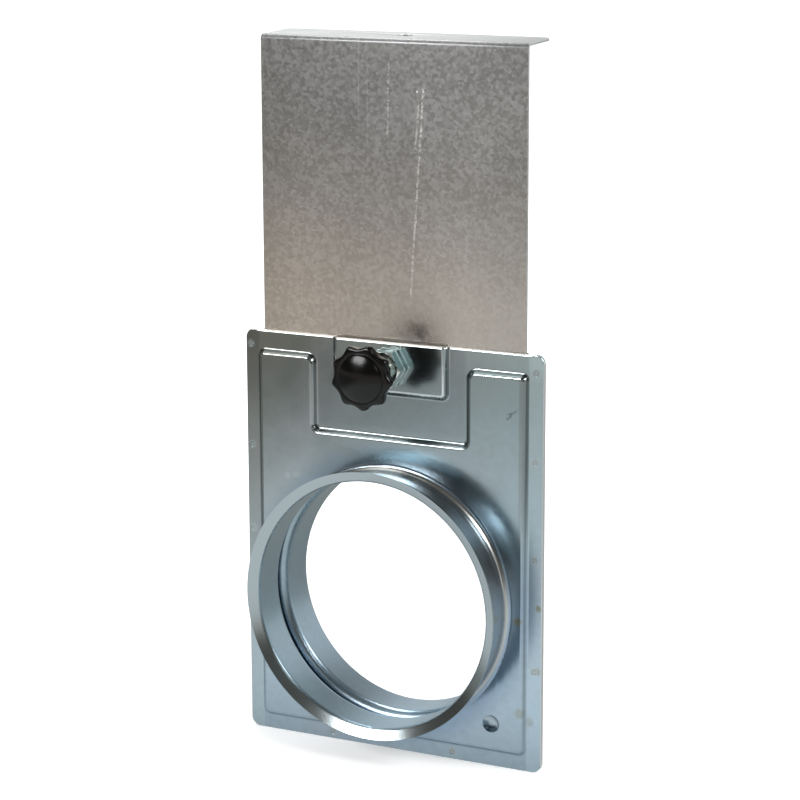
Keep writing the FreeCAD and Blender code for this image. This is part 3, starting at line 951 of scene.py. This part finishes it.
def turned_rings(sides, rings):
    """Closed solid drawn out ring by ring, each (level, radius), round the clamp's axis."""
    clear_selection()
    level, radius = rings[0]
    bpy.ops.mesh.primitive_circle_add(
        vertices=sides, radius=radius, fill_type="NGON",
        location=(0, level, CLAMP_HEIGHT), rotation=(math.pi / 2, 0, 0))
    piece = bpy.context.object
    bpy.ops.object.transform_apply(location=True, rotation=True, scale=True)
    start_edit(piece)
    bpy.ops.mesh.select_all(action="SELECT")
    for following, size in rings[1:]:
        bpy.ops.mesh.extrude_region_move(TRANSFORM_OT_translate={"value": (0, following - level, 0)})
        ratio = size / radius
        bpy.ops.transform.resize(value=(ratio, 1, ratio), center_override=(0, following, CLAMP_HEIGHT))
        level, radius = following, size
    face_outwards()
    leave_edit()
    return piece


def star_knob_piece():
    """Moulded knob: domed face with a fine groove, nine lobes and a tapered hub."""
    rings = [(KNOB_FRONT + level * MM, radius * MM) for level, radius in KNOB_RINGS]
    knob = turned_rings(3 * KNOB_LOBES, rings)
    start_edit(knob)
    step = 2 * math.pi / KNOB_LOBES

    def on_lobe(place):
        angle = math.atan2(place.z - CLAMP_HEIGHT, place.x)
        from_middle = abs((angle + step / 2) % step - step / 2)
        near = from_middle < math.radians(LOBE_MIDDLE)
        return near and math.hypot(place.x, place.z - CLAMP_HEIGHT) > KNOB_RIM

    for level, push in KNOB_LOBE_PUSH:
        here = KNOB_FRONT + level * MM
        pick(knob, lambda place: abs(place.y - here) < ONE_LEVEL and on_lobe(place))
        bpy.ops.transform.resize(value=(push, 1, push), center_override=(0, here, CLAMP_HEIGHT))
    bpy.ops.mesh.select_all(action="SELECT")
    bpy.ops.transform.rotate(
        value=math.radians(KNOB_TURN), orient_axis="Y", center_override=(0, 0, CLAMP_HEIGHT))
    leave_edit()
    smooth = knob.modifiers.new("round", "SUBSURF")
    smooth.levels = smooth.render_levels = KNOB_SMOOTHING
    apply_all(knob)
    bpy.ops.object.shade_smooth()
    return knob


def clamp_screw_piece():
    """Clamp screw with its real thread, cut flat at its tip and inside the knob's hub."""
    clear_selection()
    bpy.ops.mesh.primitive_circle_add(vertices=4, radius=THREAD_PITCH / 2, fill_type="NOTHING")
    screw = bpy.context.object
    start_edit(screw)
    pick(screw, lambda place: place.x < -THREAD_PITCH / 4)
    bpy.ops.mesh.delete(type="VERT")
    bpy.ops.mesh.select_all(action="SELECT")
    bpy.ops.transform.resize(value=(THREAD_DEPTH / (THREAD_PITCH / 2), 1, 1), center_override=(0, 0, 0))
    root = THREAD_RADIUS - THREAD_DEPTH
    bpy.ops.transform.translate(value=(root, THREAD_STARTS, CLAMP_HEIGHT))
    bpy.ops.mesh.screw(
        steps=THREAD_STEPS, turns=THREAD_TURNS, center=(0, 0, CLAMP_HEIGHT), axis=(0, 1, 0))
    bpy.ops.mesh.select_all(action="SELECT")
    bpy.ops.mesh.remove_doubles(threshold=ONE_POINT)
    for level, way in ((HUB_BACK - SCREW_IN_HUB, -1), (SCREW_TIP, 1)):
        bpy.ops.mesh.select_all(action="SELECT")
        bpy.ops.mesh.bisect(plane_co=(0, level, 0), plane_no=(0, way, 0), clear_outer=True, use_fill=True)
    face_outwards()
    leave_edit()
    return screw


def merged_copy(node):
    """Copy of a CAD node at the origin with its doubled points merged, left in edit mode."""
    copy = nodes[node].copy()
    copy.data = nodes[node].data.copy()
    copy.parent = None
    copy.matrix_world = Matrix.Identity(4)
    bpy.context.scene.collection.objects.link(copy)
    start_edit(copy)
    bpy.ops.mesh.select_all(action="SELECT")
    bpy.ops.mesh.remove_doubles(threshold=ONE_POINT)
    if copy.data.has_custom_normals:
        bpy.ops.mesh.customdata_custom_splitnormals_clear()
    return copy


def drawn_plate_piece():
    """The slide plate with its cut edges slightly broken, so that they catch the light."""
    plate = merged_copy("slide_plate")
    bpy.ops.mesh.dissolve_limited(angle_limit=math.radians(SAME_PLANE))
    leave_edit()
    broken = plate.modifiers.new("broken edge", "BEVEL")
    broken.width = PLATE_EDGE
    broken.segments = PLATE_EDGE_SEGMENTS
    broken.limit_method = "ANGLE"
    broken.angle_limit = math.radians(PLATE_CORNER)
    apply_all(plate)
    bpy.ops.object.shade_smooth_by_angle(angle=math.radians(PLATE_CREASE))
    return plate


def on_outline(place, low, high):
    """True for a point on the housing's outline, seen along the duct."""
    upper = place.z > (low.z + high.z) / 2
    corner = TOP_CORNER if upper else BOTTOM_CORNER
    side = abs(place.x) - (high.x - corner)
    rim = (place.z - high.z if upper else low.z - place.z) + corner
    if side > 0 and rim > 0:
        return abs(math.hypot(side, rim) - corner) < ON_LINE
    return abs(side - corner) < ON_LINE or abs(rim - corner) < ON_LINE


def sheared(edge, outward):
    """True for a sharp edge between the outline's narrow cut and the shell's outer face."""
    if len(edge.link_faces) != 2:
        return False
    cut, face = sorted(side.normal.y * outward for side in edge.link_faces)
    corner = math.radians(SHEARED_CORNER)
    return abs(cut) < CUT_FACING and face > FACE_FACING and edge.calc_face_angle() > corner


def pressed_shell_piece(node):
    """A pressed shell whose cut outline is rounded over on the outer side, as the press leaves it."""
    low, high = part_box(node)
    outward = -1 if node == "front_shell" else 1
    shell = merged_copy(node)
    for width, at_top in ((SHEARED_TOP, True), (SHEARED_EDGE, False)):
        bpy.ops.mesh.select_mode(type="EDGE")
        bpy.ops.mesh.select_all(action="DESELECT")
        shape = bmesh.from_edit_mesh(shell.data)
        shape.normal_update()
        for edge in shape.edges:
            ends = [end.co for end in edge.verts]
            on_top = all(end.z > high.z - ONE_LEVEL for end in ends)
            outlined = all(on_outline(end, low, high) for end in ends)
            if outlined and on_top == at_top and sheared(edge, outward):
                edge.select_set(True)
        bmesh.update_edit_mesh(shell.data)
        bpy.ops.mesh.bevel(
            offset=width, segments=SHEARED_SEGMENTS, profile=0.5, clamp_overlap=True, loop_slide=False)
        bpy.ops.mesh.select_mode(type="FACE")
        bpy.ops.mesh.region_to_loop()
        bpy.ops.mesh.mark_sharp()
    leave_edit()
    bpy.ops.object.shade_smooth_by_angle(angle=math.radians(SHELL_CREASE), keep_sharp_edges=True)
    even = shell.modifiers.new("flat faces stay flat", "WEIGHTED_NORMAL")
    even.keep_sharp = True
    even.weight = FLAT_FACE_WEIGHT
    apply_all(shell)
    return shell


add_camera()
add_world()
add_lights()
add_floor()

spangle = spangle_group()
drawn = line_group()
flecks = fleck_group()
stain = stain_group()

shell_material = shell_zinc()
plate_material = plate_zinc()
fastener_material = fastener_zinc()
knob_material = knob_plastic()
dress("front_shell", shell_material)
dress("rear_shell", shell_material)
dress("slide_plate", plate_material)
dress("weld_nut", fastener_material)
dress("clamp_stud", fastener_material)
dress("star_knob", knob_material)
dress("spot_welds", weld_steel())

finish_piece(star_knob_piece(), "moulded_knob", "knob", knob_material, "star_knob")
finish_piece(clamp_screw_piece(), "clamp_screw", "screw", fastener_material, "clamp_stud")
finish_piece(drawn_plate_piece(), "drawn_plate", "gate", plate_material, "slide_plate")
for side in ("front", "rear"):
    node = side + "_shell"
    shell = pressed_shell_piece(node)
    finish_piece(shell, side + "_pressing", "housing", shell_material, node)

bpy.context.scene.view_settings.view_transform = "Standard"
